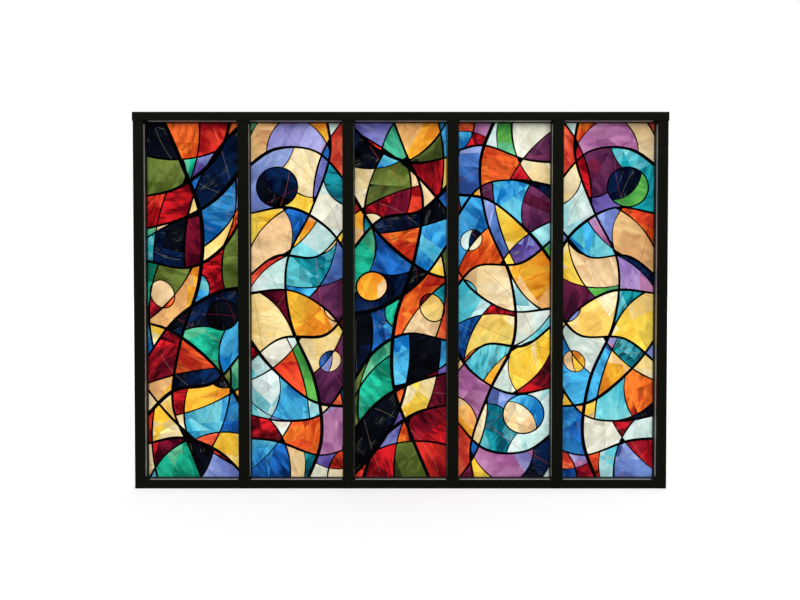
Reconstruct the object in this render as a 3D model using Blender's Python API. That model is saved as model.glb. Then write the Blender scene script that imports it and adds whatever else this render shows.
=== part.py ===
"""Interior glazed partition: a slim dark aluminium frame with five tall printed panes.

Metres, +Z up. X runs along the width, the front faces -Y. The origin is at the centre of the
underside, at mid depth.
"""
import math

import bmesh
import bpy

# Driving dimensions: the whole frame
FRAME_WIDTH = 1.530
FRAME_HEIGHT = 1.080
PANE_COUNT = 5

# Driving dimensions: the aluminium sections
STILE_FACE = 0.030
MULLION_FACE = 0.032
HEAD_FACE = 0.025
SILL_FACE = 0.025
HEAD_PROUD = 0.0012
END_CAP_THICKNESS = 0.0015
WALL = 0.0018
NOSE_DEPTH = 0.0035
BACK_LIP = 0.003
ARRIS_RADIUS = 0.0008
ARRIS_SEGMENTS = 3
SHARP_ANGLE = math.radians(40)

# Driving dimensions: the glazing, from the front of the groove to its back
BEAD_DEPTH = 0.010
FRONT_SEAL_DEPTH = 0.0165
GLASS_THICKNESS = 0.006
BACK_SEAL_DEPTH = 0.0045

# Driving dimensions: how far the glazing goes into the groove and stands out of it
GLASS_BITE = 0.005
GLASS_EDGE_ROOM = 0.0025
SEAL_EDGE_ROOM = 0.0015
SEAL_PROUD = 0.0016
SEAL_LIP_TAPER = 0.0008
BEAD_EDGE = 0.0007

# Driving dimensions: how far beads end before the corners, on the uprights and on the rails
UPRIGHT_BEAD_GAP = 0.009
STILE_BEAD_GAP = 0.012
MULLION_BEAD_GAP = 0.003

# Clearance between pieces that touch
FIT = 0.0003

# Sizes worked out from those above
GROOVE_WIDTH = BEAD_DEPTH + FRONT_SEAL_DEPTH + GLASS_THICKNESS + BACK_SEAL_DEPTH + 5 * FIT
GROOVE_DEPTH = GLASS_BITE + GLASS_EDGE_ROOM
SEAL_BITE = GROOVE_DEPTH - SEAL_EDGE_ROOM
FRAME_DEPTH = NOSE_DEPTH + GROOVE_WIDTH + BACK_LIP

# Places worked out from the sizes above
FRONT = -FRAME_DEPTH / 2
BACK = FRAME_DEPTH / 2
OPENING_WIDTH = (FRAME_WIDTH - 2 * STILE_FACE - (PANE_COUNT - 1) * MULLION_FACE) / PANE_COUNT
PITCH = OPENING_WIDTH + MULLION_FACE
UPRIGHT_TOP = FRAME_HEIGHT - HEAD_FACE
OPENING_HEIGHT = UPRIGHT_TOP - SILL_FACE
OPENING_MIDDLE = (UPRIGHT_TOP + SILL_FACE) / 2
GROOVE_FRONT = FRONT + NOSE_DEPTH
GROOVE_BACK = BACK - BACK_LIP
BEAD_FRONT = GROOVE_FRONT + FIT
BEAD_BACK = BEAD_FRONT + BEAD_DEPTH
FRONT_SEAL_FRONT = BEAD_BACK + FIT
FRONT_SEAL_BACK = FRONT_SEAL_FRONT + FRONT_SEAL_DEPTH
GLASS_FRONT = FRONT_SEAL_BACK + FIT
GLASS_BACK = GLASS_FRONT + GLASS_THICKNESS
BACK_SEAL_FRONT = GLASS_BACK + FIT
BACK_SEAL_BACK = GROOVE_BACK - FIT


def principled(name, colour, roughness, metallic=0.0):
    """A Principled material with plain values."""
    material = bpy.data.materials.new(name)
    material.use_nodes = True
    shader = material.node_tree.nodes["Principled BSDF"]
    shader.inputs["Base Color"].default_value = (*colour, 1.0)
    shader.inputs["Roughness"].default_value = roughness
    shader.inputs["Metallic"].default_value = metallic
    return material


def place(name, mesh, location, parent):
    """A mesh as a named object under the partition's empty."""
    piece = bpy.data.objects.new(name, mesh)
    bpy.context.collection.objects.link(piece)
    piece.parent = parent
    piece.location = location
    return piece


def finished_mesh(name, shape, material):
    """A bmesh as a mesh with outward faces and one material."""
    bmesh.ops.recalc_face_normals(shape, faces=shape.faces)
    mesh = bpy.data.meshes.new(name)
    shape.to_mesh(mesh)
    shape.free()
    mesh.shade_smooth()
    mesh.set_sharp_from_angle(angle=SHARP_ANGLE)
    mesh.materials.append(material)
    return mesh


def rounded_corner(across, depth, side, towards):
    """Points of a small round corner, in the order that runs from the front to the back.

    side is +1 or -1 across the section; towards is +1 at the front corner and -1 at the back one.
    """
    centre_across = across - side * ARRIS_RADIUS
    centre_depth = depth + towards * ARRIS_RADIUS
    points = []
    for step in range(ARRIS_SEGMENTS + 1):
        turn = step / ARRIS_SEGMENTS * math.pi / 2
        if towards > 0:
            turn = math.pi / 2 - turn
        points.append((
            centre_across + side * ARRIS_RADIUS * math.cos(turn),
            centre_depth - towards * ARRIS_RADIUS * math.sin(turn),
        ))
    return points


def outer_side(half_face, side, grooved, front, back):
    """One side of a section from front to back, with or without its glazing groove."""
    edge = side * half_face
    points = rounded_corner(edge, front, side, 1)
    if grooved:
        floor = edge - side * GROOVE_DEPTH
        points += [(edge, GROOVE_FRONT), (floor, GROOVE_FRONT), (floor, GROOVE_BACK), (edge, GROOVE_BACK)]
    return points + rounded_corner(edge, back, side, -1)


def hollow_side(half_face, side, grooved, front, back):
    """The same side of the hollow inside the section, one wall in from the outer side or the groove."""
    edge = side * (half_face - WALL)
    if grooved:
        edge -= side * GROOVE_DEPTH
    return [(edge, front + WALL), (edge, back - WALL)]


def section(face, low_groove, high_groove, proud=0.0):
    """Outline and hollow of a section, as (across, depth) points; across is centred on its face."""
    front = FRONT - proud
    back = BACK + proud
    loops = []
    for make_side in (outer_side, hollow_side):
        high = make_side(face / 2, 1, high_groove, front, back)
        low = make_side(face / 2, -1, low_groove, front, back)
        loops.append(high + low[::-1])
    return loops


def extrusion(name, loops, length, run_along_x, material):
    """A section drawn through its length, centred on the middle of its run.

    A section's across axis is X on an upright, which runs along Z, and Z on a rail, which runs along X.
    """
    shape = bmesh.new()
    edges = []
    for loop in loops:
        corners = []
        for across, depth in loop:
            if run_along_x:
                corners.append(shape.verts.new((-length / 2, depth, across)))
            else:
                corners.append(shape.verts.new((across, depth, -length / 2)))
        for index, corner in enumerate(corners):
            edges.append(shape.edges.new((corners[index - 1], corner)))
    cap = bmesh.ops.triangle_fill(shape, use_beauty=True, edges=edges)
    faces = [item for item in cap["geom"] if isinstance(item, bmesh.types.BMFace)]
    drawn = bmesh.ops.extrude_face_region(shape, geom=faces, use_keep_orig=True)
    moved = [item for item in drawn["geom"] if isinstance(item, bmesh.types.BMVert)]
    offset = (length, 0.0, 0.0) if run_along_x else (0.0, 0.0, length)
    bmesh.ops.translate(shape, verts=moved, vec=offset)
    return finished_mesh(name, shape, material)


def ring(name, profile, material):
    """A closed ring round one opening, with mitred corners.

    profile holds (outward, depth) points; outward is measured from the edge of the opening.
    """
    shape = bmesh.new()
    corners = []
    for side_x, side_z in ((1, 1), (-1, 1), (-1, -1), (1, -1)):
        corners.append([
            shape.verts.new((
                side_x * (OPENING_WIDTH / 2 + outward),
                depth,
                side_z * (OPENING_HEIGHT / 2 + outward),
            ))
            for outward, depth in profile
        ])
    for index, here in enumerate(corners):
        before = corners[index - 1]
        for point in range(len(profile)):
            shape.faces.new((before[point - 1], before[point], here[point], here[point - 1]))
    return finished_mesh(name, shape, material)


def bead_loop(side):
    """Section of a bead that fills the groove beside the opening, as (across, depth) points.

    across is measured from the edge of the opening; side is +1 where the groove lies in +across.
    """
    inner = side * (GROOVE_DEPTH - FIT)
    return [
        (inner, BEAD_FRONT),
        (inner, BEAD_BACK),
        (side * BEAD_EDGE, BEAD_BACK),
        (0.0, BEAD_BACK - BEAD_EDGE),
        (0.0, BEAD_FRONT + BEAD_EDGE),
        (side * BEAD_EDGE, BEAD_FRONT),
    ]


def seal_profile(front, back, lip_front):
    """Section of a seal ring; its lip stands proud of the frame's side and thins towards its edge."""
    taper_front = SEAL_LIP_TAPER if lip_front else 0.0
    taper_back = 0.0 if lip_front else SEAL_LIP_TAPER
    return [
        (SEAL_BITE, front),
        (SEAL_BITE, back),
        (SEAL_LIP_TAPER - SEAL_PROUD, back),
        (-SEAL_PROUD, back - taper_back),
        (-SEAL_PROUD, front + taper_front),
        (SEAL_LIP_TAPER - SEAL_PROUD, front),
    ]


def pane_mesh(material):
    """One sheet of glass, with its edges in the grooves on all four sides."""
    shape = bmesh.new()
    bmesh.ops.create_cube(shape, size=1.0)
    size = (OPENING_WIDTH + 2 * GLASS_BITE, GLASS_THICKNESS, OPENING_HEIGHT + 2 * GLASS_BITE)
    bmesh.ops.scale(shape, vec=size, verts=shape.verts)
    return finished_mesh("glass_pane", shape, material)


def build_head(parent, aluminium, plastic):
    """The head rail lies over the uprights, a little proud of them, with a thin cap on each end."""
    length = FRAME_WIDTH - 2 * FIT
    middle_z = FRAME_HEIGHT - HEAD_FACE / 2
    loops = section(HEAD_FACE, True, False, HEAD_PROUD)
    rail = extrusion("head_rail", loops, length, True, aluminium)
    place("head_rail", rail, (0.0, 0.0, middle_z), parent)
    outline = section(HEAD_FACE, False, False, HEAD_PROUD)[:1]
    cap = extrusion("end_cap", outline, END_CAP_THICKNESS, True, plastic)
    cap_x = (FRAME_WIDTH + END_CAP_THICKNESS) / 2
    place("end_cap_left", cap, (-cap_x, 0.0, middle_z), parent)
    place("end_cap_right", cap, (cap_x, 0.0, middle_z), parent)


def build_uprights(parent, aluminium):
    """Two stiles and the mullions between them, from the underside up to the head rail."""
    length = UPRIGHT_TOP - FIT
    stile_x = (FRAME_WIDTH - STILE_FACE) / 2
    left = extrusion("stile_left", section(STILE_FACE, False, True), length, False, aluminium)
    right = extrusion("stile_right", section(STILE_FACE, True, False), length, False, aluminium)
    middle = extrusion("mullion", section(MULLION_FACE, True, True), length, False, aluminium)
    place("stile_left", left, (-stile_x, 0.0, length / 2), parent)
    place("stile_right", right, (stile_x, 0.0, length / 2), parent)
    for number in range(1, PANE_COUNT):
        place(f"mullion_{number}", middle, ((number - PANE_COUNT / 2) * PITCH, 0.0, length / 2), parent)


def bay_middle(number):
    """The middle of an opening along X; the openings are numbered from the left."""
    return (number - (PANE_COUNT + 1) / 2) * PITCH


def build_bay(number, meshes, parent):
    """The sill rail, glass, upright beads and seals of one opening."""
    middle_x = bay_middle(number)
    middle = (middle_x, 0.0, OPENING_MIDDLE)
    half_width = OPENING_WIDTH / 2
    place(f"sill_rail_{number}", meshes["sill"], (middle_x, 0.0, SILL_FACE / 2), parent)
    place(f"glass_pane_{number}", meshes["glass"],
          (middle_x, (GLASS_FRONT + GLASS_BACK) / 2, OPENING_MIDDLE), parent)
    place(f"front_seal_{number}", meshes["front_seal"], middle, parent)
    place(f"back_seal_{number}", meshes["back_seal"], middle, parent)
    place(f"bead_left_{number}", meshes["bead_left"], (middle_x - half_width, 0.0, OPENING_MIDDLE), parent)
    place(f"bead_right_{number}", meshes["bead_right"], (middle_x + half_width, 0.0, OPENING_MIDDLE), parent)


def build_level_beads(number, parent, grey_bead):
    """The beads over and under one opening, which end further from a stile than from a mullion."""
    left_gap = STILE_BEAD_GAP if number == 1 else MULLION_BEAD_GAP
    right_gap = STILE_BEAD_GAP if number == PANE_COUNT else MULLION_BEAD_GAP
    length = OPENING_WIDTH - left_gap - right_gap
    middle_x = bay_middle(number) + (left_gap - right_gap) / 2
    for side_name, side, edge_z in (("top", 1, UPRIGHT_TOP), ("bottom", -1, SILL_FACE)):
        name = f"bead_{side_name}_{number}"
        bead = extrusion(name, [bead_loop(side)], length, True, grey_bead)
        place(name, bead, (middle_x, 0.0, edge_z), parent)


def build_glazing(parent, aluminium, grey_bead, rubber, glass):
    """Everything between the uprights; each opening repeats the same meshes but for its level beads."""
    upright_bead = OPENING_HEIGHT - 2 * UPRIGHT_BEAD_GAP
    meshes = {
        "sill": extrusion("sill_rail", section(SILL_FACE, False, True),
                          OPENING_WIDTH - 2 * FIT, True, aluminium),
        "glass": pane_mesh(glass),
        "front_seal": ring("front_seal", seal_profile(FRONT_SEAL_FRONT, FRONT_SEAL_BACK, True), rubber),
        "back_seal": ring("back_seal", seal_profile(BACK_SEAL_FRONT, BACK_SEAL_BACK, False), rubber),
        "bead_left": extrusion("bead_left", [bead_loop(-1)], upright_bead, False, grey_bead),
        "bead_right": extrusion("bead_right", [bead_loop(1)], upright_bead, False, grey_bead),
    }
    for number in range(1, PANE_COUNT + 1):
        build_bay(number, meshes, parent)
        build_level_beads(number, parent, grey_bead)


def main():
    """Clear the scene and build the partition under one empty."""
    for leftover in list(bpy.data.objects):
        bpy.data.objects.remove(leftover)
    partition = bpy.data.objects.new("partition", None)
    bpy.context.collection.objects.link(partition)
    aluminium = principled("black powder coat", (0.010, 0.010, 0.008), 0.42)
    plastic = principled("black end cap", (0.010, 0.010, 0.009), 0.5)
    grey_bead = principled("pale grey bead", (0.30, 0.30, 0.28), 0.5)
    rubber = principled("black seal", (0.008, 0.008, 0.008), 0.7)
    glass = principled("printed glass", (0.30, 0.28, 0.32), 0.08)
    build_head(partition, aluminium, plastic)
    build_uprights(partition, aluminium)
    build_glazing(partition, aluminium, grey_bead, rubber, glass)


main()
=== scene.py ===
"""Looks of an interior glass partition: black frame, pale beads, rubber seals and five printed panes."""

import math
import random

import bpy
import numpy as np
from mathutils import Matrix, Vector
from mathutils.geometry import delaunay_2d_cdt


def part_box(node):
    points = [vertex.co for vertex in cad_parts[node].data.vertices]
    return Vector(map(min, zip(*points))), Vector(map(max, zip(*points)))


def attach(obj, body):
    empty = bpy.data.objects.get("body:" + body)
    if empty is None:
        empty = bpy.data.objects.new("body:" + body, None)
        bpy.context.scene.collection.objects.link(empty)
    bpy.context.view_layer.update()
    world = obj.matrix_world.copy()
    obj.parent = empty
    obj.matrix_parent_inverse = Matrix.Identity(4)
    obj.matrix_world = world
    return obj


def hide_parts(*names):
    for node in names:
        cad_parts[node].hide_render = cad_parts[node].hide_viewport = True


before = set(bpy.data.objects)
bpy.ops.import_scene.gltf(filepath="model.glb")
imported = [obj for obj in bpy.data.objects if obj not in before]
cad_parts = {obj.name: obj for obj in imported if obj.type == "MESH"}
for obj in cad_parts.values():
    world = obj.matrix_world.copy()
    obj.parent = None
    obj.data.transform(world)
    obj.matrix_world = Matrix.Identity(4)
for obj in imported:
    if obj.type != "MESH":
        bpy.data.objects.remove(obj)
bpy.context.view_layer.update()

# The pictures are drawn in millimetres from a pane's middle, and its edges lie in the frame's grooves
PRINT_WIDTH = 280.0
PRINT_HEIGHT = 1040.0

# How far out the straight lines lie on which curves can end, just outside the picture
BEYOND_SIDE = 146.0
BEYOND_END = 530.0

# How finely curves are drawn, and the sag up to which an arc counts as straight
CURVE_STEP = 7.0
FEWEST_POINTS = 3
FEWEST_HOOP_POINTS = 16
FLATTEST_SAG = 0.5

# Points nearer than this are joined, and shards of fewer square millimetres are filled in black
JOIN_TOLERANCE = 1e-4
SMALLEST_SHARD = 90.0

# Black lines: a line drawn MIDDLE_WIDTH wide gets its design's own weight, and a finer one less than its
# share. Their widths sway a little as by a hand-held brush, in waves that run through so many radians.
MIDDLE_WIDTH = 6.0
WIDTH_CONTRAST = 1.6
WIDTH_SWAY = 0.18
SWAY_RADIANS = (5, 11)

# Folds are curves where only the tone of the paint changes
FOLD_COUNT = 60
FOLD_LENGTH = (110, 240)
FOLD_SAG = 14

# Hairs are long thin curves that tint the paint under them: how many of each paint, and how strong
HAIR_COUNT = 2
HAIR_LENGTH = (200, 480)
HAIR_SAG = 90
HAIR_WIDTH = 0.9
HAIR_SHARES = {"cream": 0.16, "ink": 0.80, "plum": 0.75, "coral": 0.32}

# How near two shards of one paint may be, and how freely a paint is chosen
NEIGHBOUR_REACH = 0.95
SIZE_WEIGHT = 0.5
FREEDOM = 0.03

# How the tones vary over a shard and from facet to facet
GRADIENT = 0.85
FACET_BRIGHTNESS = (0.80, 1.12)
FACET_LEAN = 0.12
FACET_SHIFT = 0.28
PARTNER_CHANCE = 0.35
PARTNER_SHARE = (0.35, 0.9)

# Each paint has two tones that the brush marks mix, as 8-bit screen colours, and a partner in some facets
PAINTS = {
    "crimson": ((212, 32, 40), (100, 9, 22), "plum"),
    "scarlet": ((234, 66, 44), (150, 18, 26), "crimson"),
    "orange": ((240, 120, 44), (182, 56, 24), "scarlet"),
    "coral": ((236, 102, 66), (188, 52, 42), "orange"),
    "amber": ((238, 178, 54), (212, 122, 32), "sand"),
    "yellow": ((233, 201, 80), (226, 174, 48), "cream"),
    "sand": ((226, 194, 148), (206, 168, 120), "cream"),
    "cream": ((229, 214, 176), (219, 194, 138), "yellow"),
    "olive": ((106, 124, 58), (66, 80, 32), "ink"),
    "leaf": ((92, 168, 74), (50, 122, 56), "mint"),
    "mint": ((100, 180, 136), (60, 134, 98), "emerald"),
    "emerald": ((36, 180, 144), (10, 104, 80), "mint"),
    "teal": ((30, 150, 162), (10, 84, 102), "aqua"),
    "aqua": ((118, 200, 206), (58, 164, 182), "mist"),
    "sky": ((70, 174, 220), (18, 98, 164), "aqua"),
    "royal": ((34, 104, 188), (10, 50, 106), "sky"),
    "navy": ((14, 38, 76), (4, 13, 32), "ink"),
    "ink": ((5, 6, 11), (15, 19, 29), "navy"),
    "violet": ((104, 90, 164), (70, 54, 124), "lavender"),
    "lavender": ((138, 156, 208), (98, 114, 176), "royal"),
    "mauve": ((184, 126, 168), (136, 78, 124), "lavender"),
    "plum": ((112, 22, 44), (56, 8, 26), "crimson"),
    "aubergine": ((100, 48, 84), (60, 26, 54), "plum"),
    "mist": ((202, 217, 214), (170, 202, 196), "aqua"),
    "pearl": ((223, 221, 205), (199, 198, 177), "mist"),
}

# From screen colours to paints: a painted pane comes out brighter by the gain in the studio light
SCREEN_WHITE = 255
SCREEN_GAMMA = 2.2
STUDIO_GAIN = 1.32

# Paints that show light scratches, paints with dark blotches, and smooth paints with faint bristle marks
SCRATCHED = ("ink", "navy", "royal", "violet")
BLOTCHED = ("crimson", "scarlet", "orange", "coral", "plum", "royal", "navy", "teal")
SMOOTH = (
    "yellow", "amber", "sand", "cream", "mist", "pearl",
    "lavender", "mauve", "aubergine", "aqua", "olive",
)
SMOOTH_SHARE = 0.35

# Marks in the paint, drawn out along its brush strokes: length and width in metres, how finely the noise
# is broken up, and which part of its range counts
DAB = ((0.085, 0.030), 2.5, (0.42, 0.58))
BRISTLE = ((0.030, 0.0018), 4.0, (0.3, 0.7))
BLOT = ((0.020, 0.020), 6.0, (0.3, 0.7))
BLOTCH = ((0.050, 0.012), 6.0, (0.50, 0.60))
SCRATCH = ((0.060, 0.0012), 2.0, (0.56, 0.70))
SCRATCH_PLACES = ((0.045, 0.030), 3.0, (0.52, 0.64))

# Angular patches of changed paint: length and width in metres
PATCH = (0.060, 0.024)

# How far the marks shift the mix of a paint's two tones, change its brightness or cover it
DAB_MIX = 0.26
PATCH_MIX = 0.24
PATCH_TONES = (0.87, 1.11)
BRISTLE_CHANGE = (-0.13, 0.11)
BLOT_TONES = (0.90, 1.08)
BLOTCH_DEPTH = 0.75
SCRATCH_COLOUR = (0.17, 0.17, 0.13)

# How far apart in the noise two facets' marks can lie
STROKE_SPREAD = 3.0

# The print's gloss under clear glass, its line colour, and the grey that stands under its linked colours
PRINT_ROUGHNESS = 0.09
LINE_COLOUR = (0.0002, 0.0002, 0.0003)
PAINT_BASE = (0.5, 0.5, 0.5)

# All surfaces here bend light like glass or plastic
REFRACTION = 1.5

# Plain finishes: a colour and a roughness, and for some a fine grain, uneven gloss and an uneven tone.
# Scales are how fine the noise is, depths are in metres.
PLAIN_FINISHES = {
    "powder_coat": {
        "colour": (0.0026, 0.0029, 0.0014), "roughness": 0.28,
        "grain": {"scale": 1400.0, "depth": 0.00006},
        "gloss": {"scale": 25.0, "smoothest": 0.27, "roughest": 0.30},
    },
    "cap_plastic": {
        "colour": (0.0028, 0.0030, 0.0016), "roughness": 0.32,
        "grain": {"scale": 900.0, "depth": 0.00005},
        "gloss": {"scale": 60.0, "smoothest": 0.31, "roughest": 0.35},
    },
    "bead_grey": {
        "colour": (0.28, 0.28, 0.265), "roughness": 0.45,
        "tone": {"scale": 12.0, "amount": 0.12},
    },
    "seal_rubber": {
        "colour": (0.004, 0.004, 0.004), "roughness": 0.7,
        "grain": {"scale": 700.0, "depth": 0.00008},
        "tone": {"scale": 40.0, "amount": 0.2},
    },
    "printed_line": {"colour": LINE_COLOUR, "roughness": PRINT_ROUGHNESS},
    "glass_edge": {
        "colour": (0.05, 0.12, 0.09), "roughness": 0.25,
        "tone": {"scale": 80.0, "amount": 0.2},
    },
}
GRAIN_DETAIL = 2.0
GRAIN_STRENGTH = 0.6
UNEVEN_DETAIL = 3.0
GLOSS_RANGE = (0.35, 0.65)

# How the names of the pieces begin, and their finishes
PIECE_FINISHES = {
    "head_rail": "powder_coat",
    "stile_": "powder_coat",
    "mullion_": "powder_coat",
    "sill_rail_": "powder_coat",
    "end_cap_": "cap_plastic",
    "bead_": "bead_grey",
    "front_seal_": "seal_rubber",
    "back_seal_": "seal_rubber",
}

# Pane number, design, seed of its paints, +1 upright or -1 turned by half a turn, mirrored or not
PANES = (
    (1, "dark", 7, 1, False),
    (2, "pale", 11, 1, False),
    (3, "dark", 23, -1, False),
    (4, "pale", 31, -1, False),
    (5, "pale", 43, 1, True),
)

# The order of a pane's materials
PAINT_SLOT, LINE_SLOT, EDGE_SLOT = range(3)

# Floor, in metres: just under the part, and dim in reflections
FLOOR_SIZE = 60.0
FLOOR_DROP = 0.0004
FLOOR_TONE = 0.95
FLOOR_TONE_IN_GLOSS = 0.03

# Soft lights from far away: name, direction of its place, strength, width in degrees, highlights or none
SUNS = (
    ("light_left", (-0.50, -0.60, 0.62), 0.55, 24, True),
    ("light_right", (0.50, -0.60, 0.62), 0.55, 24, True),
    ("light_above", (0.0, -0.35, 0.94), 0.5, 35, True),
    ("light_front", (0.0, -0.94, 0.34), 2.5, 34, False),
    ("light_back", (0.30, 0.80, 0.52), 0.9, 40, True),
)

# World: pale to the camera, softer as light and dim in reflections
WORLD_LIGHT = 0.48
WORLD_IN_GLOSS = 0.015
WORLD_SEEN = 1.0

# Camera: its place in metres, how far it looks down in degrees, and its lens and sensor in millimetres
CAMERA_PLACE = (-0.0018, -2.2235, 0.588)
CAMERA_DIP = 1.17
CAMERA_LENS = 34.56
CAMERA_SENSOR = 36.0


def line(points, width, end_width=None, kind="lead", colour=None):
    """A drawn line of changing width; points in millimetres from the pane's middle."""
    points = np.array(points, float)
    share = np.linspace(0.0, 1.0, len(points))
    end_width = width if end_width is None else end_width
    return {"points": points, "widths": width + (end_width - width) * share, "kind": kind, "colour": colour}


def bow(start, end, sag, width, end_width=None, kind="lead", colour=None):
    """A circular arc from start to end that swells by sag to its left."""
    start, end = np.array(start, float), np.array(end, float)
    chord = end - start
    length = np.linalg.norm(chord)
    share = np.linspace(0.0, 1.0, max(FEWEST_POINTS, int(length / CURVE_STEP) + 2))
    if abs(sag) < FLATTEST_SAG:
        return line(start + share[:, None] * chord, width, end_width, kind, colour)
    normal = np.array([-chord[1], chord[0]]) / length
    radius = (length ** 2 / 4 + sag ** 2) / (2 * abs(sag))
    half_turn = math.asin(min(1.0, length / 2 / radius))
    turn = (2 * share - 1) * half_turn
    along = radius * np.sin(turn)
    rise = (radius * np.cos(turn) - radius + abs(sag)) * math.copysign(1, sag)
    points = (start + end) / 2 + along[:, None] * chord / length + rise[:, None] * normal
    return line(points, width, end_width, kind, colour)


def hoop(centre, radius, width, squash=1.0, tilt=0.0):
    """A closed ellipse."""
    count = max(FEWEST_HOOP_POINTS, int(2 * math.pi * radius / CURVE_STEP))
    turn = np.linspace(0.0, 2 * math.pi, count + 1)
    x, z = radius * np.cos(turn), radius * squash * np.sin(turn)
    cosine, sine = math.cos(math.radians(tilt)), math.sin(math.radians(tilt))
    points = np.stack([centre[0] + cosine * x - sine * z, centre[1] + sine * x + cosine * z], axis=1)
    return line(points, width)


def sweep(knots, width, end_width=None):
    """A smooth curve through knots."""
    knots = np.array(knots, float)
    knots = np.vstack([2 * knots[0] - knots[1], knots, 2 * knots[-1] - knots[-2]])
    points = []
    for before, start, end, after in zip(knots, knots[1:], knots[2:], knots[3:]):
        count = max(FEWEST_POINTS, int(np.linalg.norm(end - start) / CURVE_STEP))
        share = np.linspace(0, 1, count, endpoint=False)[:, None]
        linear_term = (end - before) * share
        square_term = (2 * before - 5 * start + 4 * end - after) * share ** 2
        cube_term = (3 * start - before - 3 * end + after) * share ** 3
        points.append((2 * start + linear_term + square_term + cube_term) / 2)
    return line(np.vstack(points + [knots[-2][None]]), width, end_width)


def at(curve, share):
    """The point at a share of a curve's length."""
    points = curve["points"]
    run = np.concatenate([[0], np.cumsum(np.linalg.norm(np.diff(points, axis=0), axis=1))])
    return np.interp(share * run[-1], run, points[:, 0]), np.interp(share * run[-1], run, points[:, 1])


def tie(first, first_share, second, second_share, sag, width, end_width=None):
    """An arc from a place on one curve to a place on another."""
    return bow(at(first, first_share), at(second, second_share), sag, width, end_width)


def scattered(rng, count, lengths, sag, **kind):
    """Short arcs here and there over the picture."""
    arcs = []
    for _ in range(count):
        middle = np.array([
            rng.uniform(-PRINT_WIDTH / 2, PRINT_WIDTH / 2),
            rng.uniform(-PRINT_HEIGHT / 2, PRINT_HEIGHT / 2),
        ])
        turn, half = rng.uniform(0, math.pi), rng.uniform(*lengths) / 2
        reach = np.array([math.cos(turn), math.sin(turn)]) * half
        arcs.append(bow(middle - reach, middle + reach, rng.uniform(-sag, sag), **kind))
    return arcs


def hair(start, end, sag, colour):
    """A thin tinting curve drawn over the shards."""
    return bow(start, end, sag, HAIR_WIDTH, kind="hair", colour=colour)


# Straight lines just outside the picture, on which curves can end
LEFT = line([(-BEYOND_SIDE, -BEYOND_END), (-BEYOND_SIDE, BEYOND_END)], 0)
RIGHT = line([(BEYOND_SIDE, -BEYOND_END), (BEYOND_SIDE, BEYOND_END)], 0)
FOOT = line([(-BEYOND_SIDE, -BEYOND_END), (BEYOND_SIDE, -BEYOND_END)], 0)
CROWN = line([(-BEYOND_SIDE, BEYOND_END), (BEYOND_SIDE, BEYOND_END)], 0)


def first_design():
    """Curves and hairs of the darker picture."""
    spine = sweep([
        (-96, 545), (-34, 400), (22, 240), (16, 60), (-40, -120), (-64, -300), (-10, -440), (30, -545),
    ], 8, 6)
    brow = sweep([(-155, 300), (-40, 330), (70, 420), (118, 545)], 6, 8)
    wing = sweep([(155, 400), (70, 300), (-30, 240), (-155, 205)], 8, 6)
    keel = sweep([(-155, 120), (-20, 96), (80, 150), (155, 262)], 6, 7)
    drift = sweep([(155, 40), (60, 20), (-60, -60), (-155, -190)], 8, 6)
    bank = sweep([(-155, -60), (-60, -92), (60, -190), (155, -330)], 6, 8)
    basin = sweep([(-155, -350), (-60, -262), (60, -236), (155, -130)], 8, 6)
    shore = sweep([(-155, -420), (-40, -400), (70, -440), (155, -520)], 6, 7)
    moon = hoop((84, -42), 46, 5, 0.92, 15)
    pebble = hoop((-92, 20), 34, 4, 1.25, 28)
    gable = tie(LEFT, 0.90, brow, 0.72, -22, 5)
    hub = at(LEFT, 0.27)
    return [
        spine, brow, wing, keel, drift, bank, basin, shore, moon, pebble, gable,
        tie(CROWN, 0.56, spine, 0.19, 12, 5, 4),
        tie(gable, 0.5, brow, 0.32, 10, 4),
        tie(keel, 0.10, brow, 0.20, 10, 4, 5),
        tie(RIGHT, 0.985, keel, 0.34, -56, 7, 5),
        tie(RIGHT, 0.93, wing, 0.10, 16, 4),
        tie(wing, 0.14, keel, 0.66, 18, 5, 4),
        tie(spine, 0.36, RIGHT, 0.80, -20, 5, 4),
        tie(spine, 0.28, LEFT, 0.665, -12, 4, 5),
        tie(keel, 0.70, drift, 0.16, -10, 5),
        tie(keel, 0.14, drift, 0.84, -20, 5),
        tie(keel, 0.40, LEFT, 0.44, 14, 4, 5),
        tie(spine, 0.43, drift, 0.30, 16, 4),
        tie(moon, 0.02, RIGHT, 0.47, 3, 4),
        tie(moon, 0.62, spine, 0.58, -8, 5, 4),
        tie(moon, 0.74, basin, 0.72, -16, 4, 6),
        bow(hub, at(bank, 0.62), 8, 5, 4),
        bow(hub, at(shore, 0.84), -22, 6, 5),
        tie(bank, 0.78, basin, 0.62, 8, 4),
        tie(basin, 0.80, shore, 0.60, 20, 5),
        tie(basin, 0.44, shore, 0.40, -14, 4, 5),
        tie(RIGHT, 0.27, spine, 0.80, 12, 5, 4),
        tie(RIGHT, 0.13, spine, 0.88, -20, 4),
        tie(basin, 0.14, FOOT, 0.14, -14, 5),
        tie(shore, 0.40, FOOT, 0.03, -18, 5),
        tie(shore, 0.62, FOOT, 0.52, 8, 5, 4),
        hair((-110, 500), (135, 300), -46, "cream"),
        hair((-135, 90), (120, -60), 60, "plum"),
        hair((-100, -150), (130, -290), -40, "cream"),
        hair((-130, -300), (110, -490), 40, "coral"),
        hair((-120, 340), (20, 110), 30, "ink"),
        hair((60, 500), (130, 60), 24, "cream"),
    ]


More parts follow.
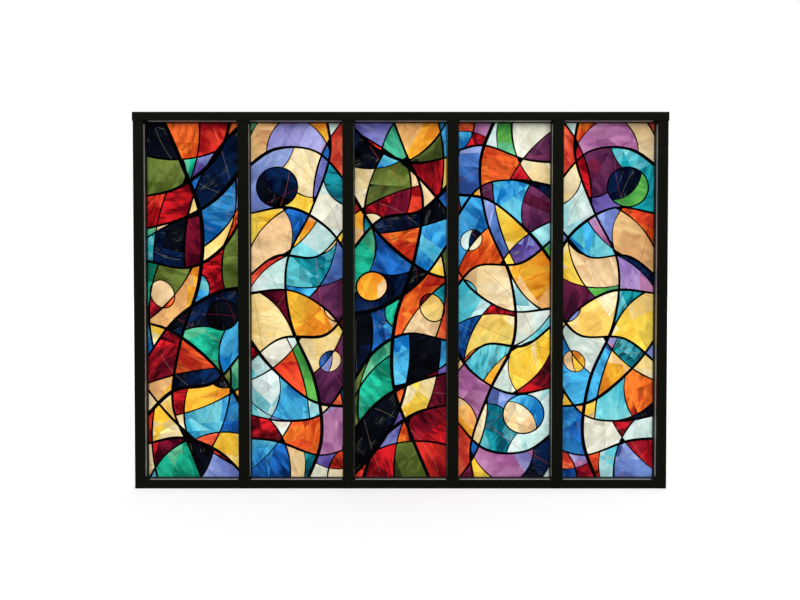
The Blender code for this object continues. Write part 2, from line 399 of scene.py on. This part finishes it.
def second_design():
    """Curves and hairs of the paler picture."""
    spine = sweep([
        (84, 545), (96, 420), (40, 260), (-30, 110), (-20, -60), (50, -230), (70, -400), (20, -545),
    ], 7, 8)
    crest = sweep([(-155, 380), (-60, 440), (60, 430), (155, 330)], 8, 6)
    ridge = sweep([(-155, 250), (-20, 270), (90, 210), (155, 120)], 6, 8)
    valley = sweep([(-155, 60), (-60, 130), (60, 130), (155, 230)], 7, 6)
    tide = sweep([(-155, 20), (-20, 30), (90, -30), (155, -120)], 7, 6)
    shelf = sweep([(-155, -190), (-50, -110), (80, -100), (155, -20)], 6, 8)
    bay = sweep([(-155, -90), (-80, -190), (40, -290), (155, -310)], 8, 7)
    cove = sweep([(-155, -330), (-40, -350), (70, -330), (155, -220)], 6, 7)
    reef = sweep([(-155, -400), (-60, -410), (60, -450), (155, -430)], 7, 6)
    sun = hoop((-58, 330), 60, 5, 0.95, 10)
    eye = hoop((96, -176), 34, 4, 0.85, 40)
    return [
        spine, crest, ridge, valley, tide, shelf, bay, cove, reef, sun, eye,
        tie(CROWN, 0.16, LEFT, 0.90, -12, 5),
        tie(CROWN, 0.40, crest, 0.22, -16, 5, 4),
        tie(CROWN, 0.52, spine, 0.10, 14, 5, 4),
        tie(crest, 0.44, sun, 0.18, 5, 4),
        tie(sun, 0.93, spine, 0.22, -6, 5, 4),
        tie(sun, 0.34, sun, 0.86, -22, 4),
        tie(CROWN, 0.99, spine, 0.24, -28, 6, 5),
        tie(spine, 0.17, RIGHT, 0.76, -16, 4, 5),
        tie(RIGHT, 0.89, ridge, 0.86, 22, 5),
        tie(ridge, 0.36, LEFT, 0.62, -20, 5),
        tie(ridge, 0.30, valley, 0.40, 22, 4),
        tie(ridge, 0.60, valley, 0.22, 18, 5, 4),
        tie(ridge, 0.82, valley, 0.64, 8, 4),
        tie(valley, 0.84, tide, 0.52, 18, 5),
        tie(valley, 0.40, LEFT, 0.52, -14, 5, 4),
        tie(RIGHT, 0.57, spine, 0.46, 20, 5, 4),
        tie(tide, 0.12, shelf, 0.46, 16, 6, 5),
        tie(tide, 0.66, shelf, 0.86, -12, 4, 5),
        tie(shelf, 0.52, LEFT, 0.28, 18, 5),
        tie(shelf, 0.40, cove, 0.52, 14, 5),
        tie(shelf, 0.96, spine, 0.70, 22, 5),
        tie(eye, 0.12, eye, 0.62, 5, 4),
        tie(LEFT, 0.235, cove, 0.40, -18, 4),
        tie(bay, 0.40, cove, 0.20, 16, 4, 5),
        tie(cove, 0.20, FOOT, 0.42, 22, 5, 6),
        tie(cove, 0.38, LEFT, 0.03, 12, 5, 4),
        tie(cove, 0.86, reef, 0.92, 8, 5, 4),
        tie(reef, 0.88, FOOT, 0.80, -10, 5),
        tie(RIGHT, 0.04, spine, 0.93, 10, 4),
        tie(reef, 0.56, FOOT, 0.55, 6, 4),
        hair((-130, 470), (130, 180), 52, "plum"),
        hair((-120, 230), (60, -90), -40, "ink"),
        hair((-110, -120), (135, -260), 46, "coral"),
        hair((-120, -480), (120, -300), 34, "cream"),
        hair((-20, 420), (-130, 160), 30, "coral"),
        hair((140, 120), (-60, -20), -30, "cream"),
    ]


# Each design's lines, their middle weight in millimetres, and how much of the area each paint takes
DESIGNS = {
    "dark": (first_design, 7.6, {
        "ink": 22, "navy": 6, "crimson": 12, "scarlet": 6, "royal": 7, "sky": 10, "teal": 1,
        "emerald": 10, "olive": 12, "mint": 1, "yellow": 6, "amber": 9, "orange": 8, "coral": 1,
        "cream": 3, "sand": 3, "violet": 4, "plum": 5,
    }),
    "pale": (second_design, 5.9, {
        "yellow": 9, "amber": 9, "cream": 8, "sand": 8, "orange": 7, "coral": 3, "teal": 7, "aqua": 5,
        "sky": 6, "royal": 6, "navy": 3, "lavender": 6, "plum": 1, "aubergine": 7, "mauve": 9,
        "crimson": 3, "violet": 1, "mist": 6, "pearl": 7, "leaf": 2, "ink": 1,
    }),
}


def all_lines(make_lines, weight, rng):
    """A design's lines, the folds and hairs scattered over them, and the black ones' final widths."""
    lines = make_lines() + scattered(rng, FOLD_COUNT, FOLD_LENGTH, FOLD_SAG, width=0, kind="fold")
    for paint in HAIR_SHARES:
        lines += scattered(
            rng, HAIR_COUNT, HAIR_LENGTH, HAIR_SAG, width=HAIR_WIDTH, kind="hair", colour=paint)
    for curve in lines:
        if curve["kind"] != "lead":
            continue
        curve["widths"] = weight * (curve["widths"] / MIDDLE_WIDTH) ** WIDTH_CONTRAST
        run, start = rng.uniform(*SWAY_RADIANS), rng.uniform(0, 2 * math.pi)
        sway = start + np.linspace(0.0, run, len(curve["widths"]))
        if not np.allclose(curve["points"][0], curve["points"][-1]):
            curve["widths"] *= 1 + WIDTH_SWAY * np.sin(sway)
    return lines


def lay_out(lines):
    """All lines in one triangulation: points, triangles, their middles and areas, and the folds' edges."""
    half_size = np.array([PRINT_WIDTH, PRINT_HEIGHT]) / 2
    verts = [tuple(half_size * corner) for corner in ((-1, -1), (1, -1), (1, 1), (-1, 1))]
    edges = [(0, 1), (1, 2), (2, 3), (3, 0)]
    fold_sources = set()
    for curve in lines:
        points = curve["points"]
        along = np.gradient(points, axis=0)
        across = np.stack([-along[:, 1], along[:, 0]], axis=1)
        across /= np.linalg.norm(across, axis=1, keepdims=True)
        closed = np.allclose(points[0], points[-1])
        if closed:
            across[0] = across[-1] = (across[0] + across[-1]) / np.linalg.norm(across[0] + across[-1])
        half = across * curve["widths"][:, None] / 2
        sides = [points] if curve["kind"] == "fold" else [points + half, points - half]
        count = len(points) - 1 if closed else len(points)
        for side in sides:
            first = len(verts)
            verts += [tuple(point) for point in side[:count]]
            steps = [(first + k, first + (k + 1) % count) for k in range(count if closed else count - 1)]
            if curve["kind"] == "fold":
                fold_sources.update(range(len(edges), len(edges) + len(steps)))
            edges += steps
        if len(sides) == 2 and not closed:
            edges += [(first - count, first), (first - 1, first + count - 1)]
    points, out_edges, faces, _, sources, _ = delaunay_2d_cdt(verts, edges, [], 0, JOIN_TOLERANCE, True)
    points, tris = np.array([tuple(point) for point in points]), np.array(faces)
    a, b, c = (points[tris[:, corner]] for corner in range(3))
    middles = (a + b + c) / 3
    areas = 0.5 * abs((b - a)[:, 0] * (c - a)[:, 1] - (b - a)[:, 1] * (c - a)[:, 0])
    keep = (abs(middles) < half_size).all(axis=1) & (areas > 0)
    used = np.unique(tris[keep])
    place = np.full(len(points), -1)
    place[used] = np.arange(len(used))
    folds = {
        tuple(sorted(place[list(edge)])) for edge, source in zip(out_edges, sources)
        if fold_sources.intersection(source)
    }
    return points[used], place[tris[keep]], middles[keep], areas[keep], folds


def covered(curve, spots):
    """Which spots lie inside a drawn line."""
    points, half = curve["points"], curve["widths"] / 2
    reach = half.max() + CURVE_STEP
    low, high = points.min(axis=0) - reach, points.max(axis=0) + reach
    near = np.where(((spots > low) & (spots < high)).all(axis=1))[0]
    result = np.zeros(len(spots), bool)
    start, step = points[:-1], points[1:] - points[:-1]
    for index in near:
        away = spots[index] - start
        share = np.clip((away * step).sum(1) / (step ** 2).sum(1), 0, 1)
        gap = np.linalg.norm(away - share[:, None] * step, axis=1)
        result[index] = (gap < half[:-1] + share * (half[1:] - half[:-1])).any()
    return result


def regions(tris, open_tris, barriers):
    """One label for all open triangles that meet over edges that are no barriers, and -1 for the rest."""
    parent = list(range(len(tris)))

    def root(index):
        while parent[index] != index:
            parent[index] = parent[parent[index]]
            index = parent[index]
        return index

    met = {}
    for index in np.where(open_tris)[0]:
        corners = [int(corner) for corner in tris[index]]
        for start, end in zip(corners, corners[1:] + corners[:1]):
            edge = (min(start, end), max(start, end))
            if edge not in barriers:
                parent[root(met.setdefault(edge, int(index)))] = root(int(index))
    return np.array([root(index) if open_tris[index] else -1 for index in range(len(tris))])


def find_shards(lines, tris, middles, areas):
    """Which triangles are black, each other triangle's shard, and the middle and area of every shard."""
    lead = np.zeros(len(tris), bool)
    for curve in lines:
        if curve["kind"] == "lead":
            lead |= covered(curve, middles)
    shard_of = regions(tris, ~lead, set())
    shards = {}
    for label in sorted(set(shard_of) - {-1}):
        mine = shard_of == label
        size = areas[mine].sum()
        if size < SMALLEST_SHARD:
            lead |= mine
        else:
            shards[label] = ((middles[mine] * areas[mine][:, None]).sum(axis=0) / size, size)
    return lead, shard_of, shards


def choose_paints(shards, shares, rng):
    """A paint for each shard, the largest first, so that the shares come out and neighbours differ."""
    total = sum(size for _, size in shards.values())
    room = {name: share * total / sum(shares.values()) for name, share in shares.items()}
    chosen = {}
    for label in sorted(shards, key=lambda key: -shards[key][1]):
        centre, size = shards[label]
        near = set()
        for other, paint in chosen.items():
            reach = NEIGHBOUR_REACH * (math.sqrt(size) + math.sqrt(shards[other][1]))
            if np.linalg.norm(centre - shards[other][0]) < reach:
                near.add(paint)
        scores = {
            name: (room[name] - SIZE_WEIGHT * size) / total + rng.uniform(0, FREEDOM)
            for name in shares if name not in near
        }
        chosen[label] = max(scores, key=scores.get)
        room[chosen[label]] -= size
    return chosen


def linear(colour):
    """A screen colour as the paint that looks so in the studio light."""
    return np.array([(channel / SCREEN_WHITE) ** SCREEN_GAMMA for channel in colour]) / STUDIO_GAIN


def tones(paint, partner_share):
    """A paint's two tones, mixed with its partner's."""
    *own, partner = PAINTS[paint]
    return [
        linear(mine) * (1 - partner_share) + linear(other) * partner_share
        for mine, other in zip(own, PAINTS[partner])
    ]


def mark_amounts(paint, rng):
    """How strong a shard's scratches, blotches and bristle marks are."""
    scratches = rng.uniform(0, 1) * (paint in SCRATCHED)
    blotches = rng.uniform(0, 1) * (paint in BLOTCHED)
    return scratches, blotches, SMOOTH_SHARE if paint in SMOOTH else 1.0


def drawn(design, seed):
    """A picture as points, triangles, which of them are black, and values for the triangles' corners.

    The values are the paint's two tones, its strokes' direction, place in the noise and mix of the tones,
    and the amounts of its marks.
    """
    rng = random.Random(seed)
    make_lines, weight, shares = design
    lines = all_lines(make_lines, weight, rng)
    points, tris, middles, areas, folds = lay_out(lines)
    lead, shard_of, shards = find_shards(lines, tris, middles, areas)
    paints = choose_paints(shards, shares, rng)
    facet_of = regions(tris, ~lead, folds)
    first, second, strokes, marks = (np.zeros((len(tris), 3, 3)) for _ in range(4))
    for label, (centre, size) in shards.items():
        mine = shard_of == label
        slope = rng.uniform(0, 2 * math.pi)
        uphill = np.array([math.cos(slope), math.sin(slope)]) / math.sqrt(size)
        run = GRADIENT * ((points[tris] - centre) @ uphill)
        lean = rng.uniform(0, 1)
        marks[mine] = mark_amounts(paints[label], rng)
        for facet in sorted(set(facet_of[mine])):
            part = mine & (facet_of == facet)
            bright = rng.uniform(*FACET_BRIGHTNESS)
            share = rng.uniform(*PARTNER_SHARE) * (rng.random() < PARTNER_CHANCE)
            first[part], second[part] = (bright * tone for tone in tones(paints[label], share))
            strokes[part, :, 0] = (lean + rng.uniform(-FACET_LEAN, FACET_LEAN)) % 1.0
            strokes[part, :, 1] = rng.uniform(0, 1)
            strokes[part, :, 2] = np.clip(run[part] + 0.5 + rng.uniform(-FACET_SHIFT, FACET_SHIFT), 0, 1)
    for curve in lines:
        if curve["kind"] == "hair":
            inside = covered(curve, middles) & ~lead
            colour, share = linear(PAINTS[curve["colour"]][0]), HAIR_SHARES[curve["colour"]]
            for layer in (first, second):
                layer[inside] += share * (colour - layer[inside])
    values = {"first_tone": first, "second_tone": second, "strokes": strokes, "marks": marks}
    return points, tris, lead, values


def pane_mesh(name, design, seed, turn, mirror, box):
    """A closed sheet of the pane's size with the same picture on its front and back."""
    points, tris, lead, values = drawn(design, seed)
    side_x, side_z = (-turn if mirror else turn), turn
    low, high = box
    x = (low.x + high.x) / 2 + side_x * points[:, 0] * (high.x - low.x) / PRINT_WIDTH
    z = (low.z + high.z) / 2 + side_z * points[:, 1] * (high.z - low.z) / PRINT_HEIGHT
    if mirror:
        tris = tris[:, ::-1]
        values = {key: corners[:, ::-1] for key, corners in values.items()}
    count = len(points)
    directed = {(int(tri[k]), int(tri[(k + 1) % 3])) for tri in tris for k in range(3)}
    rim = sorted((start, end) for start, end in directed if (end, start) not in directed)
    sides = [(end, start, start + count, end + count) for start, end in rim]
    front = [tuple(tri) for tri in tris.tolist()]
    back = [tuple(corner + count for corner in reversed(tri)) for tri in front]
    verts = [(across, depth, up) for depth in (low.y, high.y) for across, up in zip(x, z)]
    mesh = bpy.data.meshes.new(name)
    mesh.from_pydata(verts, [], front + back + sides)
    face_slots = np.where(lead, LINE_SLOT, PAINT_SLOT)
    slots = np.concatenate([face_slots, face_slots, np.full(len(sides), EDGE_SLOT)]).astype(np.int32)
    mesh.polygons.foreach_set("material_index", slots)
    for key, corners in values.items():
        plain = np.zeros((4 * len(sides), 3))
        rows = np.concatenate([corners.reshape(-1, 3), corners[:, ::-1].reshape(-1, 3), plain])
        opaque = np.hstack([rows, np.ones((len(rows), 1))])
        layer = mesh.attributes.new(key, "FLOAT_COLOR", "CORNER")
        layer.data.foreach_set("color", opaque.astype(np.float32).ravel())
    mesh.update()
    return mesh


def new_material(name, colour, roughness):
    """A principled material with its plain values on the shader's own sockets."""
    material = bpy.data.materials.new(name)
    material.use_nodes = True
    shader = material.node_tree.nodes["Principled BSDF"]
    shader.inputs["Base Color"].default_value = (*colour, 1.0)
    shader.inputs["Roughness"].default_value = roughness
    shader.inputs["IOR"].default_value = REFRACTION
    return material


def add_node(material, kind, settings=None, **links):
    """A node with plain settings, and numbers or other nodes' outputs on its sockets.

    A socket is named by its label, or by _0, _1 and so on where labels repeat.
    """
    node = material.node_tree.nodes.new(kind)
    for key, value in (settings or {}).items():
        setattr(node, key, value)
    for socket, value in links.items():
        key = int(socket[1:]) if socket[1:].isdigit() else socket.replace("_", " ")
        if isinstance(value, bpy.types.NodeSocket):
            material.node_tree.links.new(value, node.inputs[key])
        else:
            node.inputs[key].default_value = value
    return node


def drive(material, socket, output):
    """Link a node's output to the shader."""
    shader = material.node_tree.nodes["Principled BSDF"]
    material.node_tree.links.new(output, shader.inputs[socket])


def calculate(material, operation, first, second, clamp=False):
    """Arithmetic on two values."""
    settings = {"operation": operation, "use_clamp": clamp}
    return add_node(material, "ShaderNodeMath", settings, _0=first, _1=second).outputs[0]


def blend(material, share, first, second):
    """A colour between two others."""
    mix = add_node(material, "ShaderNodeMix", {"data_type": "RGBA"}, Factor=share, _6=first, _7=second)
    return mix.outputs[2]


def stretched(material, vector, factors):
    """A place with each coordinate multiplied by a factor."""
    node = add_node(material, "ShaderNodeVectorMath", {"operation": "MULTIPLY"}, _0=vector, _1=factors)
    return node.outputs["Vector"]


def spread(material, value, inside, outside):
    """A value's range stretched to another one."""
    node = add_node(
        material, "ShaderNodeMapRange", {"interpolation_type": "SMOOTHSTEP"}, Value=value,
        From_Min=inside[0], From_Max=inside[1], To_Min=outside[0], To_Max=outside[1])
    return node.outputs["Result"]


def surface_noise(material, scale, detail):
    """Noise over the surface as it lies in the part."""
    place = add_node(material, "ShaderNodeTexCoord").outputs["Object"]
    noise = add_node(material, "ShaderNodeTexNoise", Vector=place, Scale=scale, Detail=detail)
    return noise.outputs["Fac"]


def add_grain(material, scale, depth):
    """A fine surface texture, as of powder coat, moulded plastic or rubber."""
    noise = surface_noise(material, scale, GRAIN_DETAIL)
    bump = add_node(material, "ShaderNodeBump", Height=noise, Distance=depth, Strength=GRAIN_STRENGTH)
    drive(material, "Normal", bump.outputs["Normal"])


def add_gloss(material, scale, smoothest, roughest):
    """Gloss that varies a little over the surface."""
    noise = surface_noise(material, scale, UNEVEN_DETAIL)
    drive(material, "Roughness", spread(material, noise, GLOSS_RANGE, (smoothest, roughest)))


def add_tone(material, colour, scale, amount):
    """A faint unevenness of tone over a plain colour."""
    noise = surface_noise(material, scale, UNEVEN_DETAIL)
    low = [channel * (1 - amount) for channel in colour] + [1.0]
    high = [channel * (1 + amount) for channel in colour] + [1.0]
    drive(material, "Base Color", blend(material, noise, low, high))


def plain_material(name):
    """A finish of one colour, with the grain, gloss and tone that its entry gives."""
    finish = PLAIN_FINISHES[name]
    material = new_material(name, finish["colour"], finish["roughness"])
    if "grain" in finish:
        add_grain(material, **finish["grain"])
    if "gloss" in finish:
        add_gloss(material, **finish["gloss"])
    if "tone" in finish:
        add_tone(material, finish["colour"], **finish["tone"])
    return material


def channels(material, attribute):
    """The three values that a picture's corners hold under a name."""
    node = add_node(material, "ShaderNodeAttribute", {"attribute_name": attribute})
    return add_node(material, "ShaderNodeSeparateColor", Color=node.outputs["Color"]).outputs


def stroke_place(material, strokes):
    """Where a point lies along and across its shard's brush strokes."""
    place = add_node(material, "ShaderNodeTexCoord").outputs["Object"]
    angle = calculate(material, "MULTIPLY", strokes[0], math.pi)
    turned = add_node(
        material, "ShaderNodeVectorRotate", {"rotation_type": "Y_AXIS"}, Vector=place, Angle=angle)
    shift = calculate(material, "MULTIPLY", strokes[1], STROKE_SPREAD)
    moved = add_node(
        material, "ShaderNodeVectorMath", {"operation": "ADD"}, _0=turned.outputs["Vector"], _1=shift)
    return moved.outputs["Vector"]


def brush_marks(material, place, kind, outside):
    """Noise drawn out along the strokes, with the part that counts stretched to another range."""
    (length, width), detail, inside = kind
    scaled = stretched(material, place, (1 / length, 1 / width, 1 / width))
    noise = add_node(material, "ShaderNodeTexNoise", Vector=scaled, Scale=1.0, Detail=detail)
    return spread(material, noise.outputs["Fac"], inside, outside)


def patches(material, place):
    """Angular patches, each with random values of its own."""
    length, width = PATCH
    scaled = stretched(material, place, (1 / length, 1 / length, 1 / width))
    cells = add_node(material, "ShaderNodeTexVoronoi", Vector=scaled, Scale=1.0)
    return add_node(material, "ShaderNodeSeparateColor", Color=cells.outputs["Color"]).outputs


def paint_material():
    """Painted colour under clear glass: dabs and patches mix two tones, and finer marks lie over them."""
    material = new_material("printed_paint", PAINT_BASE, PRINT_ROUGHNESS)
    strokes, marks = channels(material, "strokes"), channels(material, "marks")
    place = stroke_place(material, strokes)
    patch = patches(material, place)

    # The mix of the two tones
    by_patch = spread(material, patch[0], (0.0, 1.0), (-PATCH_MIX, PATCH_MIX))
    by_dab = brush_marks(material, place, DAB, (-DAB_MIX, DAB_MIX))
    by_both = calculate(material, "ADD", by_patch, by_dab)
    share = calculate(material, "ADD", strokes[2], by_both, clamp=True)
    first = add_node(material, "ShaderNodeAttribute", {"attribute_name": "first_tone"}).outputs["Color"]
    second = add_node(material, "ShaderNodeAttribute", {"attribute_name": "second_tone"}).outputs["Color"]
    paint = blend(material, share, first, second)

    # Lighter and darker marks
    blotch = brush_marks(material, place, BLOTCH, (0.0, BLOTCH_DEPTH))
    tone = calculate(material, "SUBTRACT", 1.0, calculate(material, "MULTIPLY", blotch, marks[1]))
    bristle = brush_marks(material, place, BRISTLE, BRISTLE_CHANGE)
    bristle = calculate(material, "ADD", 1.0, calculate(material, "MULTIPLY", bristle, marks[2]))
    tone = calculate(material, "MULTIPLY", tone, bristle)
    tone = calculate(material, "MULTIPLY", tone, brush_marks(material, place, BLOT, BLOT_TONES))
    tone = calculate(material, "MULTIPLY", tone, spread(material, patch[1], (0.0, 1.0), PATCH_TONES))
    toned = add_node(material, "ShaderNodeVectorMath", {"operation": "SCALE"}, _0=paint, Scale=tone)

    # Light scratches on dark shards
    scratch = brush_marks(material, place, SCRATCH, (0.0, 1.0))
    places = brush_marks(material, place, SCRATCH_PLACES, (0.0, 1.0))
    amount = calculate(material, "MULTIPLY", calculate(material, "MULTIPLY", scratch, places), marks[0])
    scratched = blend(material, amount, toned.outputs["Vector"], (*SCRATCH_COLOUR, 1.0))
    drive(material, "Base Color", scratched)
    return material


def by_ray(tree, shown, others):
    """One shader to most rays, and another to each kind of ray that is named."""
    rays = tree.nodes.new("ShaderNodeLightPath")
    for ray, other in others:
        mix = tree.nodes.new("ShaderNodeMixShader")
        tree.links.new(rays.outputs[ray], mix.inputs[0])
        tree.links.new(shown, mix.inputs[1])
        tree.links.new(other, mix.inputs[2])
        shown = mix.outputs[0]
    return shown


def floor_material():
    """Plain white, but dim in reflections, so that black gloss stays deep."""
    material = bpy.data.materials.new("floor_white")
    material.use_nodes = True
    tree = material.node_tree
    tree.nodes.clear()
    surfaces = []
    for tone in (FLOOR_TONE, FLOOR_TONE_IN_GLOSS):
        surface = tree.nodes.new("ShaderNodeBsdfDiffuse")
        surface.inputs["Color"].default_value = (tone, tone, tone, 1.0)
        surfaces.append(surface.outputs[0])
    shown = by_ray(tree, surfaces[0], [("Is Glossy Ray", surfaces[1])])
    tree.links.new(shown, tree.nodes.new("ShaderNodeOutputMaterial").inputs["Surface"])
    return material


def make_world():
    """White all round, in three strengths for light, reflections and the camera."""
    world = bpy.data.worlds.new("studio")
    world.use_nodes = True
    tree = world.node_tree
    tree.nodes.clear()
    backgrounds = []
    for strength in (WORLD_LIGHT, WORLD_IN_GLOSS, WORLD_SEEN):
        background = tree.nodes.new("ShaderNodeBackground")
        background.inputs["Strength"].default_value = strength
        background.inputs["Color"].default_value = (1.0, 1.0, 1.0, 1.0)
        backgrounds.append(background.outputs[0])
    light, gloss, seen = backgrounds
    shown = by_ray(tree, light, [("Is Glossy Ray", gloss), ("Is Camera Ray", seen)])
    tree.links.new(shown, tree.nodes.new("ShaderNodeOutputWorld").inputs["Surface"])
    return world


def add_to_scene(name, content):
    """A new object in the scene."""
    item = bpy.data.objects.new(name, content)
    bpy.context.scene.collection.objects.link(item)
    return item


def add_sun(name, towards, strength, angle, glare):
    """A soft light from far away in the direction towards; without glare it makes no highlights."""
    light = bpy.data.lights.new(name, "SUN")
    light.energy = strength
    light.angle = math.radians(angle)
    lamp = add_to_scene(name, light)
    lamp.rotation_euler = Vector(towards).to_track_quat("Z", "Y").to_euler()
    lamp.visible_glossy = glare


# Finishes of the solids that show as they are
finishes = {name: plain_material(name) for name in PLAIN_FINISHES}
for node_name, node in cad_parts.items():
    for prefix, finish in PIECE_FINISHES.items():
        if node_name.startswith(prefix):
            for slot in node.material_slots:
                slot.material = finishes[finish]

# Printed panes in place of the plain ones
pane_finishes = (paint_material(), finishes["printed_line"], finishes["glass_edge"])
for number, design_name, seed, turn, mirror in PANES:
    node_name = f"glass_pane_{number}"
    mesh = pane_mesh(f"printed_pane_{number}", DESIGNS[design_name], seed, turn, mirror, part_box(node_name))
    for finish in pane_finishes:
        mesh.materials.append(finish)
    pane = add_to_scene(mesh.name, mesh)
    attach(pane, "root")
    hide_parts(node_name)

# Floor
floor_mesh = bpy.data.meshes.new("floor")
half = FLOOR_SIZE / 2
corners = [(x, y, -FLOOR_DROP) for x, y in ((-half, -half), (half, -half), (half, half), (-half, half))]
floor_mesh.from_pydata(corners, [], [(0, 1, 2, 3)])
floor_mesh.materials.append(floor_material())
floor = add_to_scene("floor", floor_mesh)

# Light
for sun in SUNS:
    add_sun(*sun)
bpy.context.scene.world = make_world()
bpy.context.scene.view_settings.view_transform = "Standard"

# Camera
camera_data = bpy.data.cameras.new("camera")
camera_data.sensor_width = CAMERA_SENSOR
camera_data.lens = CAMERA_LENS
camera = add_to_scene("camera", camera_data)
camera.location = CAMERA_PLACE
camera.rotation_euler = (math.radians(90 - CAMERA_DIP), 0.0, 0.0)
bpy.context.scene.camera = camera
